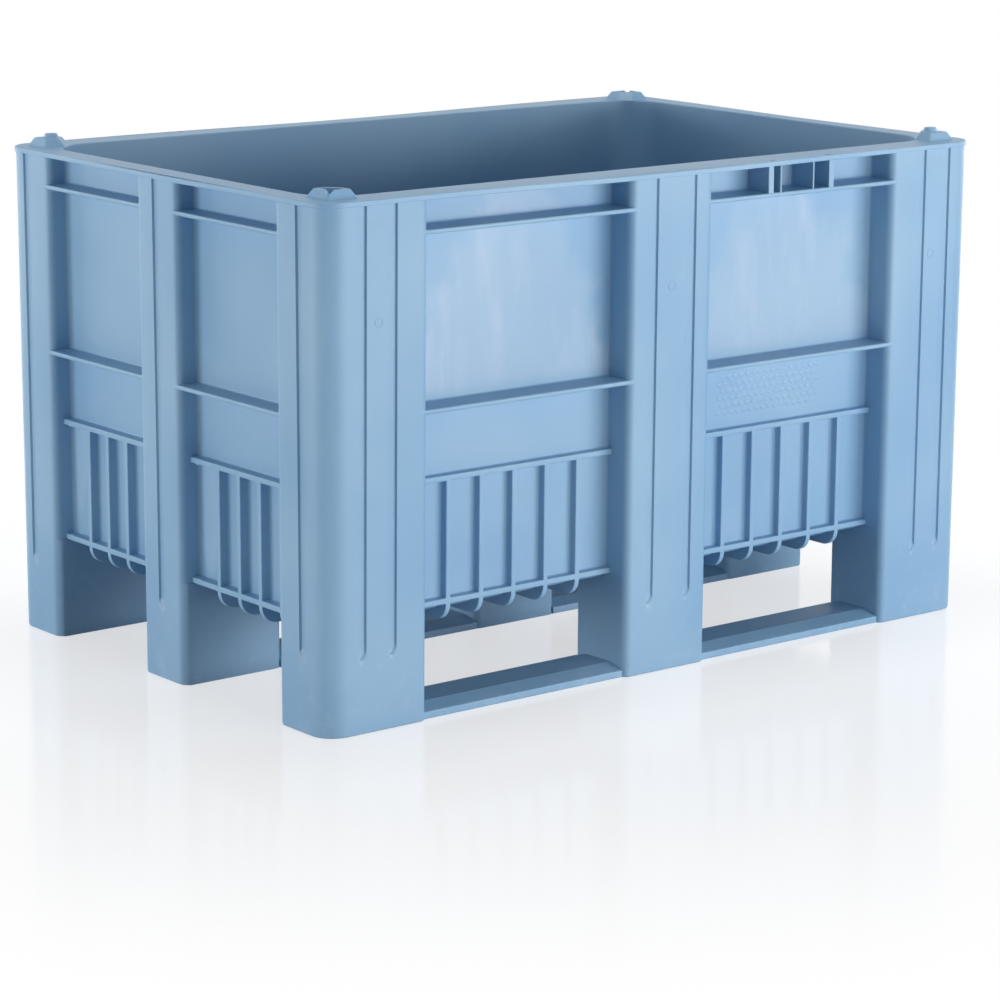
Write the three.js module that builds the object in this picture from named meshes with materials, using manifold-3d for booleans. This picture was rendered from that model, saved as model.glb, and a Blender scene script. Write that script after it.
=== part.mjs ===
// Bulk pallet box: one injection moulding with an open tub, eight hollow posts, nine legs on
// three skids, outside ribs, a flat rim and four stacking knobs.
// Millimetres, +Z up. X runs along the long side, Y along the short side.
// The origin is on the floor, under the middle of the box.

import * as THREE from 'three';
import { mergeVertices } from 'three/addons/utils/BufferGeometryUtils.js';
import Module from 'manifold-3d';

const wasm = await Module();
wasm.setup();

// Overall size
const LENGTH = 1200;
const WIDTH = 800;
const RIM_TOP = 718.5;
const HALF_LENGTH = LENGTH / 2;
const HALF_WIDTH = WIDTH / 2;

// Rim
const RIM_THICK = 7.5;
const RIM_CORNER = 42;
const RIM_BOTTOM = RIM_TOP - RIM_THICK;

// Walls and floor of the tub
const WALL = 5;
const LONG_RECESS = 48;
const SHORT_RECESS = 34;
const TUB_CORNER = 70;
const TUB_LEAN = 3;
const FLOOR_UNDERSIDE = 135;
const FLOOR_THICK = 6;
const TUB_FOOT_ROUND = 24;
const LONG_PANEL = HALF_WIDTH - LONG_RECESS;
const SHORT_PANEL = HALF_LENGTH - SHORT_RECESS;
const FLOOR_TOP = FLOOR_UNDERSIDE + FLOOR_THICK;

// Posts: their outer faces lean in from the rim to the floor
const POST_INSET_TOP = 2.1;
const POST_INSET_FOOT = 5.8;
const POST_ROUND = 38;
const POST_EDGE_ROUND = 12;
const LONG_CORNER_POST = 174;
const SHORT_CORNER_POST = 116;
const LONG_MIDDLE_POST = 152;
const SHORT_MIDDLE_POST = 100;
const FOOT_CHAMFER = 4;
const LONG_CORNER_EDGE = HALF_LENGTH - LONG_CORNER_POST;
const SHORT_CORNER_EDGE = HALF_WIDTH - SHORT_CORNER_POST;

// Legs and skids
const OUTER_SKID = 118;
const MIDDLE_SKID = 104;
const LEG_MOUTH = 20;
const SKID_SETBACK = 13;
const SKID_BAND = 10;
const SKID_TOP = 18;
const SKID_SLOPE = 26;
const SKID_WALL = 4;
const OUTER_SKID_EDGE = HALF_WIDTH - OUTER_SKID;

// Long horizontal ribs, which reach the post faces
const RIB_THICK = 6.6;
const UPPER_RIB_DROP = 43;
const MIDDLE_RIB = 426;
const UPPER_RIB = RIM_BOTTOM - UPPER_RIB_DROP;

// Low ribs: a shallow grid on each bay that runs on under the floor
const GRID_THICK = 8.4;
const GRID_TOP_RIB = 327;
const GRID_LOW_RIB = 151;
const LONG_GRID_REACH = 11;
const SHORT_GRID_REACH = 14;
const GRID_COUNT = 5;
const LONG_GRID_PITCH = 57;
const SHORT_GRID_PITCH = 50;
const UNDER_RIB = 13;
const UNDER_ROUND = 25;

// Channels down the post faces
const CHANNEL_WIDE = 16;
const CHANNEL_DEEP = 3.5;
const CHANNEL_FOOT = 96;
const CHANNEL_POINT = 14;
const LONG_CHANNEL_INSETS = [63, 113];
const MIDDLE_CHANNEL_OFFSET = 35;
const SHORT_CHANNEL_INSET = 58;

// Stacking knobs
const KNOB_BASE = 50;
const KNOB_TOP = 36;
const KNOB_HIGH = 12;
const KNOB_INSET = 50;
const KNOB_CUT = 17;
const KNOB_ROUND = 3;
const KNOB_WALL = 4.5;
const KNOB_POCKET = 8;
const KNOB_POCKET_LEAN = 4.5;
const KNOB_NOTCH = 12;
const STUB_BASE = 23;
const STUB_TOP = 18;
const STUB_HIGH = 6;
const STUB_SIDES = 20;

// Card holder in the strip under the rim: walls given as [distance from the middle post, thickness]
const HOLDER_WALLS = [[110, 10], [129, 3], [192.5, 3], [228, 10]];
const HOLDER_SETBACK = 4;
const HOLDER_SLOT_LONG = 9;
const HOLDER_SLOT_WIDE = 4;
const HOLDER_SLOT_INSET = 9;
const HOLDER_SLOTS = [116, 223];

// How far one solid runs into the next, so that joins have no shared faces
const SINK = 1;

// Facets on a quarter turn: fewer on the small rounds
const ARC_STEPS = 6;
const SMALL_ARC_STEPS = 3;
const SMALL_ROUND = 15;

function solid(geometry) {
  geometry.deleteAttribute('normal');
  geometry.deleteAttribute('uv');
  const merged = mergeVertices(geometry, 1e-5);
  const mesh = new wasm.Mesh({
    numProp: 3,
    vertProperties: new Float32Array(merged.attributes.position.array),
    triVerts: new Uint32Array(merged.index.array),
  });
  return new wasm.Manifold(mesh);
}

function union(solids) {
  return solids.reduce((whole, piece) => whole.add(piece));
}

// Rounds the corners of a counter-clockwise polygon given as [x, y, radius]
function roundedOutline(corners) {
  const points = [];
  corners.forEach(([x, y, radius = 0], i) => {
    const here = new THREE.Vector2(x, y);
    if (radius === 0) {
      points.push(here);
      return;
    }
    const before = corners[(i + corners.length - 1) % corners.length];
    const after = corners[(i + 1) % corners.length];
    const back = new THREE.Vector2(before[0] - x, before[1] - y).normalize();
    const ahead = new THREE.Vector2(after[0] - x, after[1] - y).normalize();
    const half = Math.acos(THREE.MathUtils.clamp(back.dot(ahead), -1, 1)) / 2;
    const run = radius / Math.tan(half);
    const middle = back.clone().add(ahead).normalize();
    const centre = here.clone().addScaledVector(middle, radius / Math.sin(half));
    const start = here.clone().addScaledVector(back, run).sub(centre);
    const turn = Math.PI - 2 * half;
    const side = Math.sign(ahead.cross(back)) || 1;
    const steps = radius < SMALL_ROUND ? SMALL_ARC_STEPS : ARC_STEPS;
    for (let k = 0; k <= steps; k += 1) {
      const angle = side * turn * k / steps;
      points.push(start.clone().rotateAround(new THREE.Vector2(), angle).add(centre));
    }
  });
  return points;
}

function rectangle(halfX, halfY, radius) {
  const corners = [[-halfX, -halfY], [halfX, -halfY], [halfX, halfY], [-halfX, halfY]];
  return roundedOutline(corners.map(([x, y]) => [x, y, radius]));
}

// A solid through outlines that all have the same number of points, given as [z, points]
function loft(sections) {
  const count = sections[0][1].length;
  const positions = [];
  const faces = [];
  sections.forEach(([z, points]) => points.forEach((p) => positions.push(p.x, p.y, z)));
  for (let s = 0; s + 1 < sections.length; s += 1) {
    for (let i = 0; i < count; i += 1) {
      const a = s * count + i;
      const b = s * count + (i + 1) % count;
      faces.push(a, b, b + count, a, b + count, a + count);
    }
  }
  const last = (sections.length - 1) * count;
  THREE.ShapeUtils.triangulateShape(sections[0][1], []).forEach(([a, b, c]) => faces.push(a, c, b));
  THREE.ShapeUtils.triangulateShape(sections[sections.length - 1][1], [])
    .forEach(([a, b, c]) => faces.push(last + a, last + b, last + c));
  const geometry = new THREE.BufferGeometry();
  geometry.setAttribute('position', new THREE.Float32BufferAttribute(positions, 3));
  geometry.setIndex(faces);
  return solid(geometry);
}

function box(x0, x1, y0, y1, z0, z1) {
  const geometry = new THREE.BoxGeometry(x1 - x0, y1 - y0, z1 - z0);
  geometry.translate((x0 + x1) / 2, (y0 + y1) / 2, (z0 + z1) / 2);
  return solid(geometry);
}

// A section in (y, z), run along X
function alongX(points, x0, x1) {
  const geometry = new THREE.ExtrudeGeometry(new THREE.Shape(points), {
    depth: x1 - x0,
    bevelEnabled: false,
  });
  const basis = new THREE.Matrix4().makeBasis(
    new THREE.Vector3(0, 1, 0),
    new THREE.Vector3(0, 0, 1),
    new THREE.Vector3(1, 0, 0),
  );
  geometry.applyMatrix4(basis);
  geometry.translate(x0, 0, 0);
  return solid(geometry);
}

// A section in (x, z), run along Y
function alongY(points, y0, y1) {
  const geometry = new THREE.ExtrudeGeometry(new THREE.Shape(points), {
    depth: y1 - y0,
    bevelEnabled: false,
  });
  const basis = new THREE.Matrix4().makeBasis(
    new THREE.Vector3(1, 0, 0),
    new THREE.Vector3(0, 0, 1),
    new THREE.Vector3(0, -1, 0),
  );
  geometry.applyMatrix4(basis);
  geometry.translate(0, y1, 0);
  return solid(geometry);
}

const mirroredX = (piece) => piece.scale([-1, 1, 1]);
const mirroredY = (piece) => piece.scale([1, -1, 1]);
const turned = (piece) => piece.scale([-1, -1, 1]);
const bothX = (piece) => piece.add(mirroredX(piece));
const bothY = (piece) => piece.add(mirroredY(piece));
const fourWays = (piece) => bothY(bothX(piece));

// The lean of a post face: how far it stands in from the rim's edge at a height
function faceInset(z) {
  return THREE.MathUtils.lerp(POST_INSET_FOOT, POST_INSET_TOP, z / RIM_BOTTOM);
}

// The tub's outer or inner skin, with its rounded foot
function tubSkin(skin, floor, top, cornerRound, footRound) {
  const sections = [];
  for (let k = 0; k <= ARC_STEPS / 2; k += 1) {
    const angle = (Math.PI / 2) * k / (ARC_STEPS / 2);
    const inset = footRound * (1 - Math.sin(angle));
    const z = floor + footRound * (1 - Math.cos(angle));
    const lean = TUB_LEAN * (1 - (z - floor) / (RIM_TOP - floor));
    sections.push([z, inset + lean]);
  }
  sections.push([top, 0]);
  return loft(sections.map(([z, inset]) => [
    z,
    rectangle(SHORT_PANEL - skin - inset, LONG_PANEL - skin - inset, cornerRound - inset),
  ]));
}

const tubOuter = tubSkin(0, FLOOR_UNDERSIDE, RIM_TOP - SINK, TUB_CORNER, TUB_FOOT_ROUND);
const tubInner = tubSkin(WALL, FLOOR_TOP, RIM_TOP + SINK, TUB_CORNER - WALL, TUB_FOOT_ROUND - WALL);

const rim = loft([
  [RIM_BOTTOM, rectangle(HALF_LENGTH, HALF_WIDTH, RIM_CORNER)],
  [RIM_TOP, rectangle(HALF_LENGTH, HALF_WIDTH, RIM_CORNER)],
]);

// Post outlines at a height, each made thinner by a skin for its hollow
function cornerPost(z, skin) {
  const inset = faceInset(z) + skin;
  return roundedOutline([
    [LONG_CORNER_EDGE + skin, SHORT_CORNER_EDGE + skin],
    [HALF_LENGTH - inset, SHORT_CORNER_EDGE + skin, POST_EDGE_ROUND - skin],
    [HALF_LENGTH - inset, HALF_WIDTH - inset, POST_ROUND - skin],
    [LONG_CORNER_EDGE + skin, HALF_WIDTH - inset, POST_EDGE_ROUND - skin],
  ]);
}

function longMiddlePost(z, skin) {
  const half = LONG_MIDDLE_POST / 2 - skin;
  const face = HALF_WIDTH - faceInset(z) - skin;
  const root = LONG_PANEL - TUB_FOOT_ROUND;
  return roundedOutline([
    [-half, root],
    [half, root],
    [half, face, POST_EDGE_ROUND - skin],
    [-half, face, POST_EDGE_ROUND - skin],
  ]);
}

function shortMiddlePost(z, skin) {
  const half = SHORT_MIDDLE_POST / 2 - skin;
  const face = HALF_LENGTH - faceInset(z) - skin;
  const root = SHORT_PANEL - TUB_FOOT_ROUND;
  return roundedOutline([
    [root, -half],
    [face, -half, POST_EDGE_ROUND - skin],
    [face, half, POST_EDGE_ROUND - skin],
    [root, half],
  ]);
}

// Leg outlines, with mouths that widen to the short sides
function cornerLeg(z, skin) {
  const inset = faceInset(z) + skin;
  return roundedOutline([
    [LONG_CORNER_EDGE + skin, OUTER_SKID_EDGE + skin, POST_EDGE_ROUND - skin],
    [HALF_LENGTH - LEG_MOUTH - skin, OUTER_SKID_EDGE + skin],
    [HALF_LENGTH - inset, SHORT_CORNER_EDGE + skin],
    [HALF_LENGTH - inset, HALF_WIDTH - inset, POST_ROUND - skin],
    [LONG_CORNER_EDGE + skin, HALF_WIDTH - inset, POST_EDGE_ROUND - skin],
  ]);
}

function longMiddleLeg(z, skin) {
  const half = LONG_MIDDLE_POST / 2 - skin;
  const face = HALF_WIDTH - faceInset(z) - skin;
  return roundedOutline([
    [-half, OUTER_SKID_EDGE + skin, POST_EDGE_ROUND - skin],
    [half, OUTER_SKID_EDGE + skin, POST_EDGE_ROUND - skin],
    [half, face, POST_EDGE_ROUND - skin],
    [-half, face, POST_EDGE_ROUND - skin],
  ]);
}

function shortMiddleLeg(z, skin) {
  const half = MIDDLE_SKID / 2 - skin;
  const front = SHORT_MIDDLE_POST / 2 - skin;
  const face = HALF_LENGTH - faceInset(z) - skin;
  return roundedOutline([
    [LONG_CORNER_EDGE + skin, -half, POST_EDGE_ROUND - skin],
    [HALF_LENGTH - LEG_MOUTH - skin, -half],
    [face, -front],
    [face, front],
    [HALF_LENGTH - LEG_MOUTH - skin, half],
    [LONG_CORNER_EDGE + skin, half, POST_EDGE_ROUND - skin],
  ]);
}

function centreLeg(z, skin) {
  return rectangle(
    LONG_MIDDLE_POST / 2 - skin,
    MIDDLE_SKID / 2 - skin,
    POST_EDGE_ROUND - skin,
  );
}

// A post or leg and its hollow; the foot of a leg has a small chamfer
function column(outline, z0, z1) {
  return loft([[z0, outline(z0, 0)], [z1, outline(z1, 0)]]);
}

function leg(outline) {
  const top = FLOOR_UNDERSIDE + FLOOR_THICK / 2;
  return loft([
    [0, outline(0, FOOT_CHAMFER / 2)],
    [FOOT_CHAMFER, outline(FOOT_CHAMFER, 0)],
    [top, outline(top, 0)],
  ]);
}

function hollow(outline, z0, z1) {
  return loft([[z0, outline(z0, WALL)], [z1, outline(z1, WALL)]]);
}

const postFoot = FLOOR_UNDERSIDE - SINK;
const postHead = RIM_BOTTOM + RIM_THICK / 2;
const posts = union([
  fourWays(column(cornerPost, postFoot, postHead)),
  bothY(column(longMiddlePost, postFoot, postHead)),
  bothX(column(shortMiddlePost, postFoot, postHead)),
]);
const legs = union([
  fourWays(leg(cornerLeg)),
  bothY(leg(longMiddleLeg)),
  bothX(leg(shortMiddleLeg)),
  leg(centreLeg),
]);
const postHollows = union([
  fourWays(hollow(cornerPost, FLOOR_UNDERSIDE - 2 * SINK, RIM_BOTTOM)),
  bothY(hollow(longMiddlePost, FLOOR_UNDERSIDE - 2 * SINK, RIM_BOTTOM)),
  bothX(hollow(shortMiddlePost, FLOOR_UNDERSIDE - 2 * SINK, RIM_BOTTOM)),
]).subtract(tubOuter);
const legHollows = union([
  fourWays(hollow(cornerLeg, -SINK, FLOOR_UNDERSIDE)),
  bothY(hollow(longMiddleLeg, -SINK, FLOOR_UNDERSIDE)),
  bothX(hollow(shortMiddleLeg, -SINK, FLOOR_UNDERSIDE)),
  hollow(centreLeg, -SINK, FLOOR_UNDERSIDE),
]);

// Skid bars between the legs: a band at the floor, slopes up to a flat top, open underneath
function skidSection(outerY, innerY, skin) {
  const top = SKID_TOP - skin;
  const band = SKID_BAND - skin;
  return [
    [innerY + skin, -skin],
    [outerY - skin, -skin],
    [outerY - skin, band],
    [outerY - SKID_SLOPE, top],
    [innerY + SKID_SLOPE, top],
    [innerY + skin, band],
  ].map(([y, z]) => new THREE.Vector2(y, z));
}

function skidBar(outerY, innerY) {
  const from = LONG_MIDDLE_POST / 2;
  const to = LONG_CORNER_EDGE;
  const shell = alongX(skidSection(outerY, innerY, 0), from - WALL / 2, to + WALL / 2);
  const space = alongX(skidSection(outerY, innerY, SKID_WALL), from + SKID_WALL, to - SKID_WALL);
  return shell.subtract(space);
}

const skids = union([
  fourWays(skidBar(HALF_WIDTH - SKID_SETBACK, OUTER_SKID_EDGE)),
  bothX(skidBar(MIDDLE_SKID / 2, -MIDDLE_SKID / 2)),
]);

// Horizontal ribs round the tub, as plates that the posts swallow at their ends
function ring(halfX, halfY, z, thick) {
  return loft([
    [z - thick / 2, rectangle(halfX, halfY, RIM_CORNER)],
    [z + thick / 2, rectangle(halfX, halfY, RIM_CORNER)],
  ]);
}

function fullRib(z) {
  const inset = faceInset(z);
  return ring(HALF_LENGTH - inset - SINK, HALF_WIDTH - inset - SINK, z, RIB_THICK);
}

function gridRib(z) {
  return ring(SHORT_PANEL + SHORT_GRID_REACH, LONG_PANEL + LONG_GRID_REACH, z, GRID_THICK);
}

// A grid rib goes down a bay, round under the floor and up the far bay; its root is in the wall
function gridHoop(panel, reach) {
  const outer = panel + reach;
  const root = panel - TUB_LEAN - SINK;
  const bottom = FLOOR_UNDERSIDE - UNDER_RIB;
  return roundedOutline([
    [-outer, bottom, UNDER_ROUND],
    [outer, bottom, UNDER_ROUND],
    [outer, GRID_TOP_RIB],
    [root, GRID_TOP_RIB],
    [root, FLOOR_UNDERSIDE + TUB_FOOT_ROUND],
    [root - TUB_FOOT_ROUND, FLOOR_UNDERSIDE + SINK],
    [TUB_FOOT_ROUND - root, FLOOR_UNDERSIDE + SINK],
    [-root, FLOOR_UNDERSIDE + TUB_FOOT_ROUND],
    [-root, GRID_TOP_RIB],
    [-outer, GRID_TOP_RIB],
  ]);
}

function gridPlaces(from, to, pitch) {
  const places = [];
  for (let k = 0; k < GRID_COUNT; k += 1) {
    places.push((from + to) / 2 + (k - (GRID_COUNT - 1) / 2) * pitch);
  }
  return places;
}

const longHoop = gridHoop(LONG_PANEL, LONG_GRID_REACH);
const shortHoop = gridHoop(SHORT_PANEL, SHORT_GRID_REACH);
const longHoops = gridPlaces(LONG_MIDDLE_POST / 2, LONG_CORNER_EDGE, LONG_GRID_PITCH)
  .map((x) => bothX(alongX(longHoop, x - GRID_THICK / 2, x + GRID_THICK / 2)));
// The grids of the short sides stand off centre: each lacks the rib nearest +Y
const shortPlaces = gridPlaces(MIDDLE_SKID / 2, OUTER_SKID_EDGE, SHORT_GRID_PITCH);
const shortHoops = [...shortPlaces.slice(0, -1), ...shortPlaces.slice(1).map((y) => -y)]
  .map((y) => alongY(shortHoop, y - GRID_THICK / 2, y + GRID_THICK / 2));
const ribs = union([
  fullRib(UPPER_RIB),
  fullRib(MIDDLE_RIB),
  gridRib(GRID_TOP_RIB - GRID_THICK / 2),
  gridRib(GRID_LOW_RIB),
  ...longHoops,
  ...shortHoops,
]);

// Channels in the post faces, cut with a pointed foot; the cutter leans with the face
function channel(face) {
  const wide = CHANNEL_WIDE / 2;
  const outline = [
    [-wide, CHANNEL_FOOT + CHANNEL_POINT],
    [0, CHANNEL_FOOT],
    [wide, CHANNEL_FOOT + CHANNEL_POINT],
    [wide, RIM_BOTTOM],
    [-wide, RIM_BOTTOM],
  ];
  const geometry = new THREE.BufferGeometry();
  const positions = [];
  outline.forEach(([u, z]) => positions.push(u, face - faceInset(z) - CHANNEL_DEEP, z));
  outline.forEach(([u, z]) => positions.push(u, face + SINK, z));
  const faces = [];
  const count = outline.length;
  for (let i = 1; i + 1 < count; i += 1) {
    faces.push(0, i, i + 1);
    faces.push(count, count + i + 1, count + i);
  }
  for (let i = 0; i < count; i += 1) {
    const j = (i + 1) % count;
    faces.push(i, count + i, count + j, i, count + j, j);
  }
  geometry.setAttribute('position', new THREE.Float32BufferAttribute(positions, 3));
  geometry.setIndex(faces);
  return solid(geometry);
}

const longChannel = channel(HALF_WIDTH);
const shortChannel = channel(HALF_LENGTH).rotate([0, 0, -90]);
const channels = union([
  ...LONG_CHANNEL_INSETS.map((inset) => fourWays(longChannel.translate([HALF_LENGTH - inset, 0, 0]))),
  fourWays(longChannel.translate([MIDDLE_CHANNEL_OFFSET, 0, 0])),
  fourWays(shortChannel.translate([0, HALF_WIDTH - SHORT_CHANNEL_INSET, 0])),
  bothX(shortChannel),
]);

// Stacking knobs: a square pyramid with its inner corner cut off
function knobOutline(side, cut) {
  const half = side / 2;
  return roundedOutline([
    [-half + cut, -half, KNOB_ROUND],
    [half, -half, KNOB_ROUND],
    [half, half, KNOB_ROUND],
    [-half, half, KNOB_ROUND],
    [-half, -half + cut, KNOB_ROUND],
  ]);
}

const knobTop = RIM_TOP + KNOB_HIGH;
const knobPlace = [HALF_LENGTH - KNOB_INSET, HALF_WIDTH - KNOB_INSET, 0];
const knob = loft([
  [RIM_TOP - SINK, knobOutline(KNOB_BASE, KNOB_CUT)],
  [knobTop, knobOutline(KNOB_TOP, KNOB_CUT)],
]);

function pocketCutter() {
  const top = knobTop + SINK;
  const mouth = KNOB_TOP - 2 * KNOB_WALL;
  const pocket = loft([
    [knobTop - KNOB_POCKET, knobOutline(mouth - 2 * KNOB_POCKET_LEAN, KNOB_CUT - KNOB_POCKET_LEAN)],
    [top, knobOutline(mouth, KNOB_CUT)],
  ]);
  const notch = alongX([
    new THREE.Vector2(0, knobTop - KNOB_NOTCH / 2),
    new THREE.Vector2(KNOB_NOTCH / 2, top),
    new THREE.Vector2(-KNOB_NOTCH / 2, top),
  ], 0, KNOB_BASE).rotate([0, 0, 45]);
  return pocket.add(notch);
}

function stub() {
  const cone = new THREE.CylinderGeometry(STUB_TOP / 2, STUB_BASE / 2, STUB_HIGH + SINK, STUB_SIDES);
  cone.rotateX(Math.PI / 2);
  cone.translate(0, 0, knobTop + (STUB_HIGH - SINK) / 2);
  return solid(cone);
}

const socketKnob = knob.subtract(pocketCutter()).translate(knobPlace);
const stubKnob = knob.add(stub()).translate(knobPlace);
const knobs = union([
  socketKnob,
  turned(socketKnob),
  mirroredX(stubKnob),
  mirroredY(stubKnob),
]);

// Card holder on one long side, and the same turned half round on the other
function holderWall([place, thick]) {
  const x = LONG_MIDDLE_POST / 2 + place;
  const face = HALF_WIDTH - HOLDER_SETBACK;
  return box(x - thick / 2, x + thick / 2, -face, -LONG_PANEL + SINK, UPPER_RIB, RIM_BOTTOM + SINK);
}

function holderSlot(place) {
  const x = LONG_MIDDLE_POST / 2 + place;
  const y = HALF_WIDTH - HOLDER_SLOT_INSET;
  return box(
    x - HOLDER_SLOT_LONG / 2,
    x + HOLDER_SLOT_LONG / 2,
    -y - HOLDER_SLOT_WIDE / 2,
    -y + HOLDER_SLOT_WIDE / 2,
    RIM_BOTTOM - RIM_THICK / 2,
    RIM_TOP + SINK,
  );
}

const holderWalls = union(HOLDER_WALLS.map(holderWall));
const holderSlots = union(HOLDER_SLOTS.map(holderSlot));

const moulding = union([tubOuter, rim, posts, ribs, legs])
  .subtract(postHollows)
  .subtract(legHollows)
  .add(skids)
  .add(holderWalls)
  .add(turned(holderWalls))
  .subtract(tubInner)
  .subtract(channels)
  .subtract(holderSlots)
  .subtract(turned(holderSlots))
  .add(knobs);

function toMesh(name, manifold, material) {
  const { vertProperties, triVerts } = manifold.getMesh();
  const geometry = new THREE.BufferGeometry();
  geometry.setAttribute('position', new THREE.Float32BufferAttribute(vertProperties, 3));
  geometry.setIndex(Array.from(triVerts));
  geometry.computeVertexNormals();
  const mesh = new THREE.Mesh(geometry, material);
  mesh.name = name;
  return mesh;
}

const blueResin = new THREE.MeshStandardMaterial({ color: 0x7fa9cf, roughness: 0.5, metalness: 0 });

const palletBox = new THREE.Group();
palletBox.add(toMesh('pallet_box', moulding, blueResin));

export default palletBox;
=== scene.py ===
"""The looks of a bulk pallet box: one blue resin moulding with rounded edges, ribs, channels and knobs.

Lengths are millimetres until a mesh is made, +Z up, X along the long side, Y along the short side.
"""

import math

import bmesh
import bpy
import numpy as np
from mathutils import Matrix, Vector


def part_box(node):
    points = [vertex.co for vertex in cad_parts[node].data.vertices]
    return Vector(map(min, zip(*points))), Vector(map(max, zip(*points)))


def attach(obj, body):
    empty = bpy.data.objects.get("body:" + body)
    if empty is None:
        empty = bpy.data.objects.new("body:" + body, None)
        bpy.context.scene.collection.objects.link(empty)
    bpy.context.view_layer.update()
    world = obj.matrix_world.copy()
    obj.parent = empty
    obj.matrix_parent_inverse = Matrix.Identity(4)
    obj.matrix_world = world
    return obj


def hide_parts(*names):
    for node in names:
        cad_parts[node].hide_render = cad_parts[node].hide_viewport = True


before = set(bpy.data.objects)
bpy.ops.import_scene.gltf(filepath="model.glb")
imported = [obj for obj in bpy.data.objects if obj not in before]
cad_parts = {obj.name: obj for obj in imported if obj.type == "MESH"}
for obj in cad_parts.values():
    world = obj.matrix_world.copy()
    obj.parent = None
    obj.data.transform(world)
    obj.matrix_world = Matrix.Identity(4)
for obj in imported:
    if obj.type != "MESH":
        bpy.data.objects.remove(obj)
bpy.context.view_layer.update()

MM = 0.001

# Overall size, from the frame
NODE = "pallet_box"
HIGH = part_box(NODE)[1]
HALF_LENGTH = HIGH.x / MM
HALF_WIDTH = HIGH.y / MM
KNOB_HIGH = 12
STUB_HIGH = 6
RIM_TOP = HIGH.z / MM - KNOB_HIGH - STUB_HIGH

# Rim
RIM_THICK = 7.5
RIM_CORNER = 42
RIM_BOTTOM = RIM_TOP - RIM_THICK
RIM_EDGE = 1.6
RIM_SAG = 2.4

# Walls and floor of the tub
WALL = 5
LONG_RECESS = 48
SHORT_RECESS = 34
TUB_CORNER = 70
TUB_LEAN = 3
FLOOR_UNDERSIDE = 135
FLOOR_TOP = 141
TUB_FOOT_ROUND = 24
LONG_PANEL = HALF_WIDTH - LONG_RECESS
SHORT_PANEL = HALF_LENGTH - SHORT_RECESS

# Posts: their outer faces lean in from the rim to the floor
POST_INSET_TOP = 2.1
POST_INSET_FOOT = 5.8
POST_ROUND = 38
POST_EDGE_ROUND = 12
POST_ROOT_FILLET = 4
LONG_CORNER_EDGE = HALF_LENGTH - 174
SHORT_CORNER_EDGE = HALF_WIDTH - 116
LONG_MIDDLE_HALF = 76
SHORT_MIDDLE_HALF = 50
FOOT_ROUND = 3

# Legs and skids
OUTER_SKID_EDGE = HALF_WIDTH - 118
MIDDLE_SKID_HALF = 52
LEG_MOUTH = 20
SKID_SETBACK = 13
SKID_BAND = 10
SKID_TOP = 18
SKID_SLOPE = 26
SKID_WALL = 4
SKID_EDGE = 2

# Long horizontal ribs, nearly flush with the post faces
RIB_ROOT = 3.8
RIB_FRONT = 3.3
RIB_BEHIND_FACE = 0.8
RIB_FILLET = 3
RIB_EDGE = 2
UPPER_RIB = RIM_BOTTOM - 43
MIDDLE_RIB = 426

# Low ribs: a shallow grid on each bay that runs on under the floor
GRID_ROOT = 4.6
GRID_FRONT = 4.2
GRID_FILLET = 2.5
GRID_EDGE = 1.5
GRID_TOP_RIB = 322.8
GRID_LOW_RIB = 151
LONG_GRID_REACH = 11
SHORT_GRID_REACH = 14
GRID_COUNT = 5
LONG_GRID_PITCH = 57
SHORT_GRID_PITCH = 50
UNDER_RIB = 13
UNDER_ROUND = 25
HOOP_EDGE = 1

# Channels down the post faces
CHANNEL_DEEP = 3.5
CHANNEL_FOOT = 96
CHANNEL_SLANT = 1.75
CHANNEL_RAMP = 9
CHANNEL_PROFILE = [(8.6, 0), (8.1, 0.08), (7.5, 0.85), (6.6, 1), (3.3, 1), (0, 1)]
LONG_CHANNELS = [HALF_LENGTH - 113, HALF_LENGTH - 63]
LONG_MIDDLE_CHANNEL = 35
SHORT_CHANNEL = HALF_WIDTH - 58

# Stacking knobs
KNOB_BASE = 50
KNOB_TOP = 36
KNOB_INSET = 50
KNOB_CUT = 17
KNOB_ROUND = 3
KNOB_EDGE = 1.5
KNOB_WALL = 4.5
KNOB_POCKET = 8
KNOB_POCKET_LEAN = 4.5
KNOB_NOTCH = 12
STUB_BASE = 23
STUB_TOP = 18

# Card holder under the rim: walls given as [distance from the middle post, thickness]
HOLDER_WALLS = [(110, 10), (129, 3), (192.5, 3), (228, 10)]
HOLDER_SETBACK = 4
HOLDER_EDGE = 0.8
HOLDER_SLOTS = (116, 223)
HOLDER_SLOT_LONG = 9
HOLDER_SLOT_WIDE = 4
HOLDER_SLOT_INSET = 9

# How far a tool runs past the surface that it cuts or joins
SINK = 1

# Plain columns and rows that split the wide faces of the skin
LONG_MIDDLE_COLUMNS = (0, 13)
LONG_INNER_COLUMN = 56
LONG_OUTER_COLUMN = 456
SHORT_INNER_COLUMN = 22
SHORT_OUTER_COLUMN = 318
LEG_ROWS = (32, 62)
CHANNEL_END_ROWS = (CHANNEL_FOOT - 3, 122, 12)
GRID_ROWS = (208, 264)
LOW_PANEL_ROW = 378
UPPER_PANEL_ROWS = (486, 546, 606)
STRIP_ROW = 690


# Plain geometry

def lerp(a, b, t):
    return a + (b - a) * t


def smooth_step(t):
    t = np.clip(t, 0, 1)
    return t * t * (3 - 2 * t)


def quarter(radius, steps):
    """(run, rise) pairs round a quarter circle, from (0, 0) to (radius, radius)."""
    angles = np.linspace(0, math.pi / 2, steps + 1)
    return [(radius * math.sin(a), radius * (1 - math.cos(a))) for a in angles]


def face_inset(z):
    """How far a post face stands in from the rim's edge at a height."""
    return lerp(POST_INSET_FOOT, POST_INSET_TOP, z / RIM_BOTTOM)


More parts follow.
